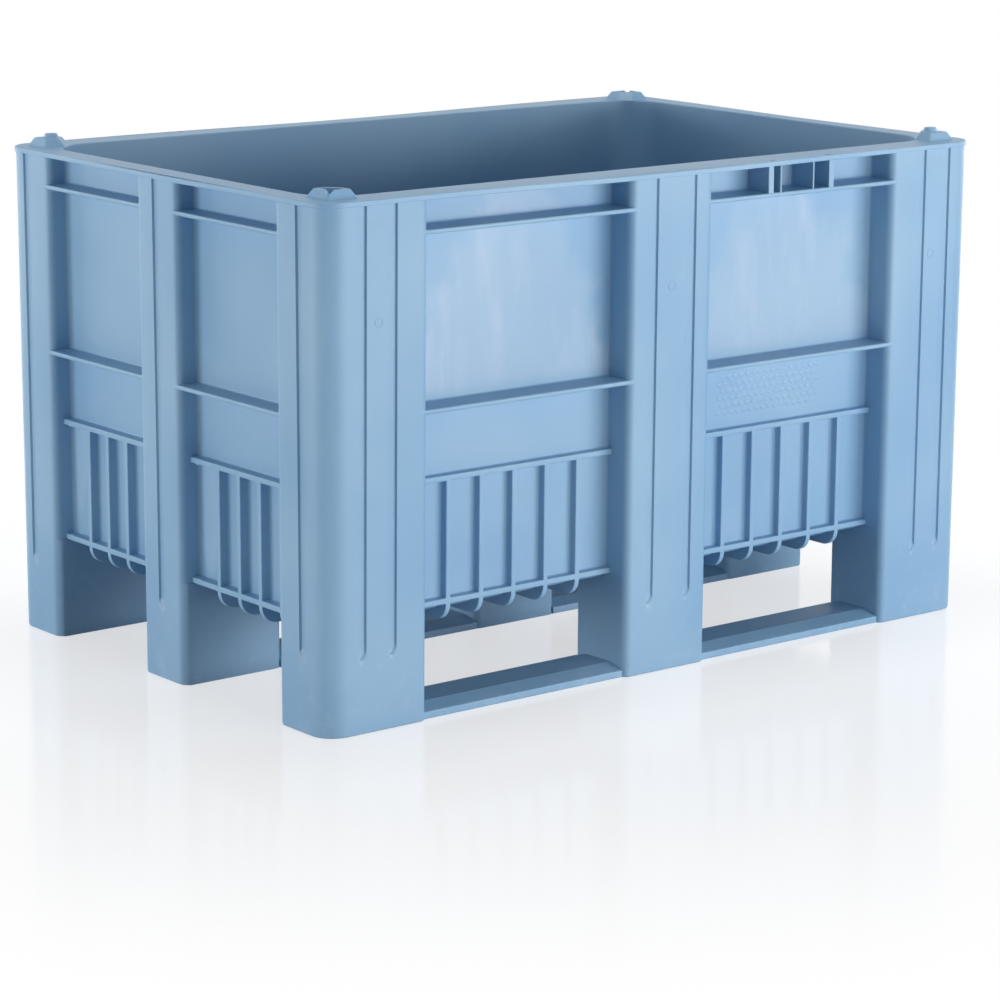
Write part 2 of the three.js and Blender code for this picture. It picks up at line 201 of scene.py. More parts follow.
def tub_lean(z):
    """How far the tub's wall leans in at a height."""
    return TUB_LEAN * (1 - (z - FLOOR_UNDERSIDE) / (RIM_TOP - FLOOR_UNDERSIDE))


def rounded_outline(corners, steps=6):
    """Points of a polygon given as (x, y, radius) with its corners rounded."""
    points = []
    for i, (x, y, radius) in enumerate(corners):
        here = Vector((x, y))
        if radius <= 0:
            points.append(here)
            continue
        before = Vector(corners[i - 1][:2])
        after = Vector(corners[(i + 1) % len(corners)][:2])
        back, ahead = (before - here).normalized(), (after - here).normalized()
        half = back.angle(ahead) / 2
        centre = here + (back + ahead).normalized() * (radius / math.sin(half))
        start = here + back * (radius / math.tan(half)) - centre
        side = 1 if ahead.x * back.y - ahead.y * back.x > 0 else -1
        turn = side * (math.pi - 2 * half)
        for k in range(steps + 1):
            points.append(Matrix.Rotation(turn * k / steps, 2) @ start + centre)
    return np.array([tuple(p) for p in points])


def rectangle(half_x, half_y, radius, steps=6):
    signs = ((-1, -1), (1, -1), (1, 1), (-1, 1))
    return rounded_outline([(a * half_x, b * half_y, radius) for a, b in signs], steps)


def at_height(points, z):
    return np.column_stack([points, np.full(len(points), z)])


def at_x(points, x):
    """Points given as (y, z), placed in the plane of an x."""
    return np.column_stack([np.full(len(points), x), points])


def at_y(points, y):
    """Points given as (x, z), placed in the plane of a y."""
    return np.column_stack([points[:, 0], np.full(len(points), y), points[:, 1]])


# Solids

def solid(name, rings):
    """A closed mesh through rings of points in millimetres, with a flat face on each end."""
    rings = np.asarray(rings, float)
    rows, columns, _ = rings.shape
    index = np.arange(rows * columns).reshape(rows, columns)
    here, above = index[:-1], index[1:]
    quads = np.stack([here, np.roll(here, -1, 1), np.roll(above, -1, 1), above], -1).reshape(-1, 4)
    points = rings.reshape(-1, 3)
    faces = [tuple(q) for q in quads.tolist()]
    faces.append(tuple(index[0][::-1].tolist()))
    faces.append(tuple(index[-1].tolist()))
    if signed_volume(points, quads, index) < 0:
        faces = [f[::-1] for f in faces]
    mesh = bpy.data.meshes.new(name)
    mesh.from_pydata((points * MM).tolist(), [], faces)
    piece = bpy.data.objects.new(name, mesh)
    bpy.context.scene.collection.objects.link(piece)
    return piece


def signed_volume(points, quads, index):
    """Six times the volume inside the quads and two end fans, below zero if they face inwards."""
    a, b, c, d = (points[quads[:, k]] for k in range(4))
    total = np.einsum("ij,ij->", a, np.cross(b, c)) + np.einsum("ij,ij->", a, np.cross(c, d))
    for ring, sign in ((points[index[0]], -1), (points[index[-1]], 1)):
        rest = np.roll(ring, -1, 0)
        total += sign * np.einsum("j,ij->", ring[0], np.cross(ring, rest))
    return total


def combine(base, tools, operation):
    """Joins tools to base, or cuts them from it, and removes them."""
    for tool in tools:
        step = base.modifiers.new(operation.lower(), "BOOLEAN")
        step.operation = operation
        step.solver = "MANIFOLD"
        step.object = tool
    graph = bpy.context.evaluated_depsgraph_get()
    made = bpy.data.meshes.new_from_object(base.evaluated_get(graph))
    base.modifiers.clear()
    base.data = made
    for tool in tools:
        bpy.data.objects.remove(tool)
    return base


def join(base, *tools):
    return combine(base, tools, "UNION")


def cut(base, *tools):
    return combine(base, tools, "DIFFERENCE")


def mirrored(piece, x=1, y=1):
    """A copy of a piece with its x or y turned over."""
    copy = piece.copy()
    copy.data = piece.data.copy()
    copy.data.transform(Matrix.Diagonal((x, y, 1, 1)))
    if x * y < 0:
        copy.data.flip_normals()
    bpy.context.scene.collection.objects.link(copy)
    return copy


def both_x(piece):
    return [piece, mirrored(piece, x=-1)]


def both_y(piece):
    return [piece, mirrored(piece, y=-1)]


def four_ways(piece):
    return [piece, mirrored(piece, x=-1), mirrored(piece, y=-1), mirrored(piece, x=-1, y=-1)]


# The outside: one skin, laid out as columns round the box and rows up it

class Side:
    """Columns along half of one side, from its middle to its rounded corner.

    Each column has its place along the side, the share of the panel's depth that it has, what is
    added to that depth plainly and in the rows of the low grid, its share of a channel's depth,
    and its distance from the channel's middle.
    """

    def __init__(self):
        self.rows = []

    def add(self, place, share=0.0, extra=0.0, grid=None, groove=0.0, off=0.0):
        self.rows.append((place, share, extra, extra if grid is None else grid, groove, off))

    def face(self, *places):
        for place in places:
            self.add(place)

    def channel(self, middle, half_only=False):
        profile = CHANNEL_PROFILE[::-1]
        if not half_only:
            for off, share in CHANNEL_PROFILE[:-1]:
                self.add(middle - off, groove=share, off=off)
        for off, share in profile:
            self.add(middle + off, groove=share, off=off)

    def wall(self, place, way):
        """From a post face down to the panel where way is 1, and back up where it is -1."""
        rows = [(place - way * (POST_EDGE_ROUND - run), 0, rise)
                for run, rise in quarter(POST_EDGE_ROUND, 5)]
        for share in (0.35, 0.7):
            rows.append((place, share, lerp(POST_EDGE_ROUND, -POST_ROOT_FILLET, share)))
        rows += [(place + way * rise, 1, run - POST_ROOT_FILLET)
                 for run, rise in quarter(POST_ROOT_FILLET, 3)]
        for column in rows[::way]:
            self.add(*column)

    def bay(self, start, end, places, reach):
        """The panel between two posts, with its upright grid ribs."""
        before = start
        for middle in places:
            self.add((before + middle) / 2, 1)
            for way in (-1, 1):
                rows = grid_rib_profile(reach)
                for off, rise in rows if way < 0 else rows[::-1]:
                    self.add(middle + way * off, 1, 0, -rise)
            before = middle
        self.add((before + end) / 2, 1)


def grid_rib_profile(reach):
    """(distance from a grid rib's middle, height above the panel), from its root to its front."""
    bend = 1 - math.sqrt(0.5)
    return [
        (GRID_ROOT + GRID_FILLET, 0),
        (GRID_ROOT + GRID_FILLET * bend, GRID_FILLET * bend),
        (GRID_ROOT, GRID_FILLET),
        (GRID_FRONT, reach - GRID_EDGE),
        (GRID_FRONT - GRID_EDGE * bend, reach - GRID_EDGE * bend),
        (GRID_FRONT - GRID_EDGE, reach),
    ]


def grid_places(start, end, pitch):
    middle = (start + end) / 2
    return [middle + (k - (GRID_COUNT - 1) / 2) * pitch for k in range(GRID_COUNT)]


LONG_GRID = grid_places(LONG_MIDDLE_HALF, LONG_CORNER_EDGE, LONG_GRID_PITCH)
SHORT_GRID = grid_places(MIDDLE_SKID_HALF, OUTER_SKID_EDGE, SHORT_GRID_PITCH)

# The grids of the short sides stand off centre, as each lacks the rib nearest +Y
SHORT_HOOPS = SHORT_GRID[:-1] + [-y for y in SHORT_GRID[1:]]
SHORT_MISSING = (SHORT_GRID[-1], -SHORT_GRID[0])


def long_side():
    side = Side()
    side.face(*LONG_MIDDLE_COLUMNS)
    side.channel(LONG_MIDDLE_CHANNEL)
    side.face(LONG_INNER_COLUMN)
    side.wall(LONG_MIDDLE_HALF, 1)
    side.bay(LONG_MIDDLE_HALF, LONG_CORNER_EDGE, LONG_GRID, LONG_GRID_REACH)
    side.wall(LONG_CORNER_EDGE, -1)
    side.face(LONG_OUTER_COLUMN)
    for middle in LONG_CHANNELS:
        side.channel(middle)
    return side.rows


def short_side():
    side = Side()
    side.channel(0, half_only=True)
    side.face(SHORT_INNER_COLUMN)
    side.wall(SHORT_MIDDLE_HALF, 1)
    side.bay(SHORT_MIDDLE_HALF, SHORT_CORNER_EDGE, SHORT_GRID, SHORT_GRID_REACH)
    side.wall(SHORT_CORNER_EDGE, -1)
    side.face(SHORT_OUTER_COLUMN)
    side.channel(SHORT_CHANNEL)
    return side.rows


def plan_columns():
    """Every column of a quarter of the box, from the middle of a long side to that of a short one.

    Returns arrays of base points, inward directions, panel depths, the Side values, and the
    places of the short side's columns, which are nought elsewhere.
    """
    base, inward, values, recess, short_place = [], [], [], [], []
    for row in long_side():
        base.append((row[0], HALF_WIDTH))
        inward.append((0, -1))
        values.append(row[1:])
        recess.append(LONG_RECESS)
        short_place.append(0)
    centre = (HALF_LENGTH - RIM_CORNER, HALF_WIDTH - RIM_CORNER)
    for angle in np.linspace(math.pi / 2, 0, 13):
        out = (math.cos(angle), math.sin(angle))
        base.append((centre[0] + RIM_CORNER * out[0], centre[1] + RIM_CORNER * out[1]))
        inward.append((-out[0], -out[1]))
        values.append((0, 0, 0, 0, 0))
        recess.append(LONG_RECESS)
        short_place.append(0)
    for row in short_side()[::-1]:
        base.append((HALF_LENGTH, row[0]))
        inward.append((-1, 0))
        values.append(row[1:])
        recess.append(SHORT_RECESS)
        short_place.append(row[0])
    return [np.array(x, float) for x in (base, inward, values, recess, short_place)]


def rib_rows(middle, root, front, fillet, edge, use_grid):
    """Rows over a horizontal rib as (z, what the cap is measured from, how far, grid in use)."""
    bend = 1 - math.sqrt(0.5)
    lower = [
        (root + fillet, "root", 0),
        (root + fillet * bend, "root", fillet * bend),
        (root, "root", fillet),
        (front, "front", edge),
        (front - edge * bend, "front", edge * bend),
        (front - edge, "front", 0),
    ]
    rows = [(middle - off, kind, far, use_grid[0]) for off, kind, far in lower]
    rows += [(middle + off, kind, far, use_grid[1]) for off, kind, far in lower[::-1]]
    return rows


def height_rows():
    """Every row as (z, kind, distance, grid in use)."""
    rows = [(rise, "foot", run, False) for run, rise in [(FOOT_ROUND, 0), (0.9, 0.9), (0, FOOT_ROUND)]]
    rows += [(z, "plain", 0, False) for z in LEG_ROWS]
    rows += [(z, "plain", 0, False) for z in np.linspace(*CHANNEL_END_ROWS)]
    rows += [(FLOOR_UNDERSIDE, "plain", 0, False)]
    rows += rib_rows(GRID_LOW_RIB, GRID_ROOT, GRID_FRONT, GRID_FILLET, GRID_EDGE, (False, True))
    rows += [(z, "plain", 0, True) for z in GRID_ROWS]
    rows += rib_rows(GRID_TOP_RIB, GRID_ROOT, GRID_FRONT, GRID_FILLET, GRID_EDGE, (True, False))
    rows += [(LOW_PANEL_ROW, "plain", 0, False)]
    full = (RIB_ROOT, RIB_FRONT, RIB_FILLET, RIB_EDGE, (False, False))
    rows += [(z, "full_" + kind, far, use) for z, kind, far, use in rib_rows(MIDDLE_RIB, *full)]
    rows += [(z, "plain", 0, False) for z in UPPER_PANEL_ROWS]
    rows += [(z, "full_" + kind, far, use) for z, kind, far, use in rib_rows(UPPER_RIB, *full)]
    rows += [(STRIP_ROW, "plain", 0, False), (RIM_BOTTOM, "plain", 0, False)]
    edge = quarter(RIM_EDGE, 3)
    rows += [(RIM_BOTTOM + rise * 0.6, "rim", RIM_EDGE - run, False) for run, rise in edge]
    rows += [(RIM_TOP - rise, "rim", RIM_EDGE - run, False) for run, rise in edge[::-1]]
    return rows


def outer_block():
    """The whole outside as one solid block: posts, panels, ribs, channels and rim."""
    base, inward, values, recess, short_place = plan_columns()
    share, plain, grid, groove, off = values.T
    reach = np.where(recess == LONG_RECESS, LONG_GRID_REACH, SHORT_GRID_REACH)
    rings = []
    for z, kind, far, use_grid in height_rows():
        inset, panel = face_inset(z), recess + tub_lean(z)
        depth = inset * (1 - share) + panel * share + (grid if use_grid else plain)
        if kind == "root":
            depth = np.minimum(depth, panel - far)
        elif kind == "front":
            depth = np.minimum(depth, panel - reach + far)
        elif kind == "full_root":
            depth = np.minimum(depth, panel - far)
        elif kind == "full_front":
            depth = np.minimum(depth, inset + RIB_BEHIND_FACE + far)
        run_out = smooth_step((z - CHANNEL_FOOT - CHANNEL_SLANT * off) / CHANNEL_RAMP)
        depth = depth + CHANNEL_DEEP * groove * run_out
        if kind == "foot":
            depth = depth + far
        if kind == "rim":
            depth = np.full(len(depth), far)
        points = base + inward * depth[:, None]
        if z < GRID_LOW_RIB - GRID_ROOT:
            points[:, 1] = mouth_place(points, short_place, depth, inset)
        rings.append(whole_ring(points, z))
    return solid(NODE, rings)


def mouth_place(points, short_place, depth, inset):
    """The y of the short side's columns between the legs, whose mouths widen outwards."""
    y = points[:, 1].copy()
    open_way = np.clip((depth - inset) / (LEG_MOUTH - inset), 0, 1)
    upper = lerp(SHORT_CORNER_EDGE, OUTER_SKID_EDGE, open_way)
    lower = lerp(SHORT_MIDDLE_HALF, MIDDLE_SKID_HALF, open_way)
    middle = (OUTER_SKID_EDGE + MIDDLE_SKID_HALF) / 2
    at_corner = (short_place > middle) & (depth > inset + 1) & (short_place < SHORT_CORNER_EDGE + 1)
    at_middle = (short_place > SHORT_MIDDLE_HALF - 1) & (short_place <= middle) & (depth > inset + 1)
    y[at_corner] = np.minimum(y, upper)[at_corner]
    y[at_middle] = np.maximum(y, lower)[at_middle]
    return y


def whole_ring(points, z):
    """A quarter of a ring, mirrored round to the whole of it; shared columns appear once."""
    ring = [points]
    ring.append((points * (1, -1))[::-1][1:])
    ring.append((points * (-1, -1))[1:])
    ring.append((points * (-1, 1))[::-1][1:-1])
    return at_height(np.vstack(ring), z)


# The tub's inside and the spaces below it

def tub_skin(name, skin, floor, top, corner, foot, lip):
    rings = []
    for run, rise in quarter(foot, 8):
        z = floor + rise
        inset = foot - run + tub_lean(z)
        rings.append((z, inset))
    rings.append((RIM_TOP - lip, tub_lean(RIM_TOP - lip)))
    if lip:
        rings += [(RIM_TOP - lip + run, -rise) for run, rise in quarter(lip, 4)[1:]]
    rings.append((top, rings[-1][1]))
    return solid(name, [
        at_height(rectangle(SHORT_PANEL - skin - inset, LONG_PANEL - skin - inset, corner - inset, 10), z)
        for z, inset in rings
    ])


def foot_arc(panel):
    """(place, z) points up the outside of the tub's rounded foot, to the low rib's underside."""
    under = GRID_LOW_RIB - GRID_ROOT - GRID_FILLET
    points = []
    for run, rise in quarter(TUB_FOOT_ROUND, 12):
        z = FLOOR_UNDERSIDE + rise
        if z < under:
            points.append((panel - TUB_FOOT_ROUND + run - tub_lean(z), z))
    last = points[-1]
    points.append((last[0] + 1.5, under))
    return points


def under_section(panel, far):
    """The section of the space under the tub, as (place, z), out past both faces."""
    arc = foot_arc(panel)
    half = [(far, -10), (far, arc[-1][1])] + arc[::-1]
    return np.array(half + [(-a, z) for a, z in half[::-1]])


def window_space():
    section = under_section(LONG_PANEL, HALF_WIDTH + 10)
    return solid("window", [at_x(section, LONG_MIDDLE_HALF), at_x(section, LONG_CORNER_EDGE)])


def tunnel_space():
    section = under_section(SHORT_PANEL, HALF_LENGTH + 10)
    return solid("tunnel", [at_y(section, MIDDLE_SKID_HALF), at_y(section, OUTER_SKID_EDGE)])


def corner_relief(x, y, way_x, way_y):
    """What rounds a leg's inner corner at (x, y); the leg lies to way_x and way_y of it."""
    radius = POST_EDGE_ROUND
    points = [(x - way_x, y - way_y), (x + way_x * radius, y - way_y)]
    points += [(x + way_x * (radius - run), y + way_y * rise) for run, rise in quarter(radius, 5)]
    points += [(x - way_x, y + way_y * radius)]
    points = np.array(points)
    return solid("relief", [at_height(points, -10), at_height(points, FLOOR_UNDERSIDE)])


def space_under_tub():
    space = join(window_space(), tunnel_space())
    spaces = join(space, mirrored(space, x=-1))
    tunnels = mirrored(spaces, y=-1)
    spaces = join(spaces, tunnels)
    reliefs = []
    for x, y, way_x, way_y in (
        (LONG_CORNER_EDGE, OUTER_SKID_EDGE, 1, 1),
        (LONG_MIDDLE_HALF, OUTER_SKID_EDGE, -1, 1),
        (LONG_CORNER_EDGE, MIDDLE_SKID_HALF, 1, -1),
        (LONG_MIDDLE_HALF, MIDDLE_SKID_HALF, -1, -1),
    ):
        reliefs += four_ways(corner_relief(x, y, way_x, way_y))
    return join(spaces, *reliefs)


# Post and leg outlines, each made thinner by a skin for its hollow

def corner_post(z, skin):
    inset = face_inset(z) + skin
    return rounded_outline([
        (LONG_CORNER_EDGE + skin, SHORT_CORNER_EDGE + skin, 0),
        (HALF_LENGTH - inset, SHORT_CORNER_EDGE + skin, POST_EDGE_ROUND - skin),
        (HALF_LENGTH - inset, HALF_WIDTH - inset, POST_ROUND - skin),
        (LONG_CORNER_EDGE + skin, HALF_WIDTH - inset, POST_EDGE_ROUND - skin),
    ])


def long_middle_post(z, skin):
    half, face = LONG_MIDDLE_HALF - skin, HALF_WIDTH - face_inset(z) - skin
    root = LONG_PANEL - TUB_FOOT_ROUND
    edge = POST_EDGE_ROUND - skin
    return rounded_outline([(-half, root, 0), (half, root, 0), (half, face, edge), (-half, face, edge)])


def short_middle_post(z, skin):
    half, face = SHORT_MIDDLE_HALF - skin, HALF_LENGTH - face_inset(z) - skin
    root = SHORT_PANEL - TUB_FOOT_ROUND
    edge = POST_EDGE_ROUND - skin
    return rounded_outline([(root, -half, 0), (face, -half, edge), (face, half, edge), (root, half, 0)])


def corner_leg(z, skin):
    inset = face_inset(z) + skin
    edge = POST_EDGE_ROUND - skin
    return rounded_outline([
        (LONG_CORNER_EDGE + skin, OUTER_SKID_EDGE + skin, edge),
        (HALF_LENGTH - LEG_MOUTH - skin, OUTER_SKID_EDGE + skin, 0),
        (HALF_LENGTH - inset, SHORT_CORNER_EDGE + skin, 0),
        (HALF_LENGTH - inset, HALF_WIDTH - inset, POST_ROUND - skin),
        (LONG_CORNER_EDGE + skin, HALF_WIDTH - inset, edge),
    ])


def long_middle_leg(z, skin):
    half, face = LONG_MIDDLE_HALF - skin, HALF_WIDTH - face_inset(z) - skin
    root, edge = OUTER_SKID_EDGE + skin, POST_EDGE_ROUND - skin
    return rounded_outline([(-half, root, edge), (half, root, edge), (half, face, edge), (-half, face, edge)])


def short_middle_leg(z, skin):
    half, front = MIDDLE_SKID_HALF - skin, SHORT_MIDDLE_HALF - skin
    face, mouth = HALF_LENGTH - face_inset(z) - skin, HALF_LENGTH - LEG_MOUTH - skin
    root, edge = LONG_CORNER_EDGE + skin, POST_EDGE_ROUND - skin
    return rounded_outline([
        (root, -half, edge), (mouth, -half, 0), (face, -front, 0),
        (face, front, 0), (mouth, half, 0), (root, half, edge),
    ])


def centre_leg(z, skin):
    return rectangle(LONG_MIDDLE_HALF - skin, MIDDLE_SKID_HALF - skin, POST_EDGE_ROUND - skin)


def hollow(outline, low, high):
    return solid("hollow", [at_height(outline(z, WALL), z) for z in (low, high)])


def hollows():
    """The spaces inside the posts, round the tub, and inside the legs."""
    low = FLOOR_UNDERSIDE - 2 * SINK
    posts = four_ways(hollow(corner_post, low, RIM_BOTTOM))
    posts += both_y(hollow(long_middle_post, low, RIM_BOTTOM))
    posts += both_x(hollow(short_middle_post, low, RIM_BOTTOM))
    whole = join(posts[0], *posts[1:])
    whole = cut(whole, tub_skin("tub_outside", 0, FLOOR_UNDERSIDE, RIM_TOP, TUB_CORNER, TUB_FOOT_ROUND, 0))
    legs = four_ways(hollow(corner_leg, -10, FLOOR_UNDERSIDE))
    legs += both_y(hollow(long_middle_leg, -10, FLOOR_UNDERSIDE))
    legs += both_x(hollow(short_middle_leg, -10, FLOOR_UNDERSIDE))
    legs.append(hollow(centre_leg, -10, FLOOR_UNDERSIDE))
    return join(whole, *legs)


# Skid bars and the rib ends that run on under the floor

def skid_section(outer, inner, skin):
    top, band = SKID_TOP - skin, SKID_BAND - skin
    edge = 0 if skin else SKID_EDGE
    floor = -skin
    return rounded_outline([
        (inner + skin, floor, edge), (outer - skin, floor, edge), (outer - skin, band, edge),
        (outer - SKID_SLOPE, top, edge), (inner + SKID_SLOPE, top, edge), (inner + skin, band, edge),
    ], 3)


def skid_bar(outer, inner):
    start, end = LONG_MIDDLE_HALF, LONG_CORNER_EDGE
    shell = skid_section(outer, inner, 0)
    space = skid_section(outer, inner, SKID_WALL)
    bar = solid("skid_bar", [at_x(shell, start - WALL / 2), at_x(shell, end + WALL / 2)])
    return cut(bar, solid("space", [at_x(space, start + SKID_WALL), at_x(space, end - SKID_WALL)]))


def skid_bars():
    return four_ways(skid_bar(HALF_WIDTH - SKID_SETBACK, OUTER_SKID_EDGE)) + both_x(
        skid_bar(MIDDLE_SKID_HALF, -MIDDLE_SKID_HALF))


def hoop_outline(panel, reach, shrink):
    """A grid rib from the low rib down and under the floor to the far bay, as (place, z)."""
    outer = panel + reach - tub_lean(GRID_LOW_RIB) - shrink
    root = panel - TUB_LEAN - SINK
    bottom = FLOOR_UNDERSIDE - UNDER_RIB + shrink
    top = GRID_LOW_RIB
    return rounded_outline([
        (-outer, bottom, UNDER_ROUND - shrink), (outer, bottom, UNDER_ROUND - shrink),
        (outer, top, 0), (root - 2, top, 0), (root - TUB_FOOT_ROUND, FLOOR_UNDERSIDE + SINK, 0),
        (TUB_FOOT_ROUND - root, FLOOR_UNDERSIDE + SINK, 0), (2 - root, top, 0), (-outer, top, 0),
    ], 8)


def hoop(panel, reach, middle, place):
    rings = []
    for off, shrink in ((-GRID_FRONT, HOOP_EDGE), (HOOP_EDGE - GRID_FRONT, 0),
                        (GRID_FRONT - HOOP_EDGE, 0), (GRID_FRONT, HOOP_EDGE)):
        rings.append(place(hoop_outline(panel, reach, shrink), middle + off))
    return solid("hoop", rings)


def missing_rib(y):
    """What is cut from the outer block where a short side's grid has no upright rib."""
    half = GRID_ROOT + GRID_FILLET
    sections = []
    for z in (GRID_LOW_RIB + GRID_ROOT, GRID_TOP_RIB - GRID_ROOT):
        wall = SHORT_PANEL - tub_lean(z)
        tip = wall + SHORT_GRID_REACH + 2 * SINK
        corners = [(wall, y - half), (tip, y - half), (tip, y + half), (wall, y + half)]
        sections.append(at_height(np.array(corners), z))
    return solid("missing_rib", sections)


def hoops():
    made = []
    for x in LONG_GRID:
        made += both_x(hoop(LONG_PANEL, LONG_GRID_REACH, x, at_x))
    for y in SHORT_HOOPS:
        made.append(hoop(SHORT_PANEL, SHORT_GRID_REACH, y, at_y))
    return made


# Knobs and card holder

def knob_outline(side, notch, edge):
    half = side / 2
    corners = [(-half + notch, -half), (half, -half), (half, half), (-half, half), (-half, -half + notch)]
    return rounded_outline([(x, y, edge) for x, y in corners], 4)


def knob(with_stub):
    top = RIM_TOP + KNOB_HIGH
    rings = [(RIM_TOP - SINK, KNOB_BASE), (RIM_TOP, KNOB_BASE)]
    slope = (KNOB_BASE - KNOB_TOP) / KNOB_HIGH
    for run, rise in quarter(KNOB_EDGE, 3):
        rings.append((top - KNOB_EDGE + run, KNOB_TOP + slope * (KNOB_EDGE - run) - rise))
    block = solid("knob", [at_height(knob_outline(side, KNOB_CUT, KNOB_ROUND), z) for z, side in rings])
    block = join(block, stub(top)) if with_stub else cut(block, pocket(top), notch(top))
    place = Vector((HALF_LENGTH - KNOB_INSET, HALF_WIDTH - KNOB_INSET, 0)) * MM
    block.data.transform(Matrix.Translation(place))
    return block


def stub(top):
    rings = [(top - SINK, STUB_BASE / 2), (top + STUB_HIGH - 2, STUB_TOP / 2 + 0.6)]
    rings += [(top + STUB_HIGH - 1 + run, STUB_TOP / 2 - rise) for run, rise in quarter(1, 3)]
    return solid("stub", [at_height(rectangle(half, half, half * 0.999, 8), z) for z, half in rings])


def pocket(top):
    mouth = KNOB_TOP - 2 * KNOB_WALL
    low = knob_outline(mouth - 2 * KNOB_POCKET_LEAN, KNOB_CUT - KNOB_POCKET_LEAN, KNOB_ROUND)
    high = knob_outline(mouth, KNOB_CUT, KNOB_ROUND)
    return solid("pocket", [at_height(low, top - KNOB_POCKET), at_height(high, top + SINK)])


def notch(top):
    half, high = KNOB_NOTCH / 2, top + SINK
    section = np.array([(0, top - half), (half, high), (-half, high)])
    piece = solid("notch", [at_x(section, 0), at_x(section, KNOB_BASE)])
    piece.data.transform(Matrix.Rotation(math.pi / 4, 4, "Z"))
    return piece


def knobs():
    socket, peg = knob(False), knob(True)
    return [socket, mirrored(socket, x=-1, y=-1), mirrored(peg, x=-1), mirrored(peg, y=-1, x=1)], peg


def soft_box(name, x0, x1, y0, y1, z0, z1, edge):
    """A box whose upright edges are eased."""
    half_x, half_y = (x1 - x0) / 2, (y1 - y0) / 2
    outline = rectangle(half_x, half_y, edge, 2) + ((x0 + x1) / 2, (y0 + y1) / 2)
    return solid(name, [at_height(outline, z0), at_height(outline, z1)])


def holder_walls():
    walls = []
    for place, thick in HOLDER_WALLS:
        x = LONG_MIDDLE_HALF + place
        face = HALF_WIDTH - HOLDER_SETBACK
        walls.append(soft_box("holder_wall", x - thick / 2, x + thick / 2, -face, -LONG_PANEL + 2 * SINK,
                              UPPER_RIB, RIM_BOTTOM + SINK, HOLDER_EDGE))
    return walls


def holder_slots():
    slots = []
    for place in HOLDER_SLOTS:
        x, y = LONG_MIDDLE_HALF + place, HALF_WIDTH - HOLDER_SLOT_INSET
        slots.append(soft_box("slot", x - HOLDER_SLOT_LONG / 2, x + HOLDER_SLOT_LONG / 2,
                              -y - HOLDER_SLOT_WIDE / 2, -y + HOLDER_SLOT_WIDE / 2,
                              RIM_BOTTOM - SINK, RIM_TOP + SINK, HOLDER_EDGE))
    return slots


def with_turned(pieces):
    return pieces + [mirrored(piece, x=-1, y=-1) for piece in pieces]


# The moulding

def moulding():
    body = outer_block()
    for y in SHORT_MISSING:
        body = cut(body, *both_x(missing_rib(y)))
    body = cut(body, space_under_tub())
    body = join(body, *hoops())
    body = cut(body, hollows())
    body = join(body, *skid_bars(), *with_turned(holder_walls()))
    inside = tub_skin("tub_inside", WALL, FLOOR_TOP, RIM_TOP + SINK, TUB_CORNER - WALL,
                      TUB_FOOT_ROUND - WALL, 2)
    body = cut(body, inside, *with_turned(holder_slots()))
    corner_knobs, pattern = knobs()
    body = join(body, *corner_knobs)
    bpy.data.objects.remove(pattern)
    sag_rim(body)
    finish_surface(body)
    return body


def sag_rim(body):
    """Lets the rim dip a little in the middle of each side, as the real moulding does."""
    points = mesh_points(body)
    x, y, z = points.T / MM
    along_x = np.clip(np.abs(x) / LONG_CORNER_EDGE, 0, 1)
    along_y = np.clip(np.abs(y) / SHORT_CORNER_EDGE, 0, 1)
    on_long = HALF_WIDTH - np.abs(y) < HALF_LENGTH - np.abs(x)
    dip = np.where(on_long, np.cos(along_x * math.pi / 2) ** 2, 0.5 * np.cos(along_y * math.pi / 2) ** 2)
    points[:, 2] -= RIM_SAG * MM * dip * smooth_step((z - UPPER_RIB) / (RIM_BOTTOM - UPPER_RIB))
    body.data.vertices.foreach_set("co", points.astype(np.float32).ravel())
    body.data.update()


def mesh_points(piece):
    points = np.zeros(len(piece.data.vertices) * 3, np.float32)
    piece.data.vertices.foreach_get("co", points)
    return points.reshape(-1, 3).astype(float)


def finish_surface(piece):
    """Smooth shading over rounded edges, with flat faces kept flat."""
    piece.data.shade_smooth()
    piece.data.set_sharp_from_angle(angle=math.radians(50))
    weighted = piece.modifiers.new("weighted_normals", "WEIGHTED_NORMAL")
    weighted.keep_sharp = True
    weighted.weight = 80


# Small surface details

NUB_ROWS = 6
NUB_COLUMNS = 16
NUB_PITCH = 12.4
NUB_ROW_PITCH = 10.6
NUB_RADIUS = 4.6
NUB_RISE = 0.9
NUB_MIDDLE = (229, 377)
MARK_RADIUS = 6.2
MARK_TUBE = 0.7
MARK_HEIGHT = 556
MARK_PLACES = (-509, 0, 509)


def ring_points(radius, count):
    angles = np.arange(count) * 2 * math.pi / count
    return np.column_stack([radius * np.cos(angles), radius * np.sin(angles)])


def dome(x, z, face):
    """A low round nub on an outer face that looks along -Y; face is the y under it."""
    rings = []
    for radius, rise in ((1, -0.6), (1, 0), (0.9, 0.35), (0.68, 0.7), (0.36, 0.93), (0.08, 1)):
        ring = ring_points(NUB_RADIUS * radius, 12)
        rings.append(at_y(ring + (x, z), face - NUB_RISE * rise))
    return solid("dome", rings)


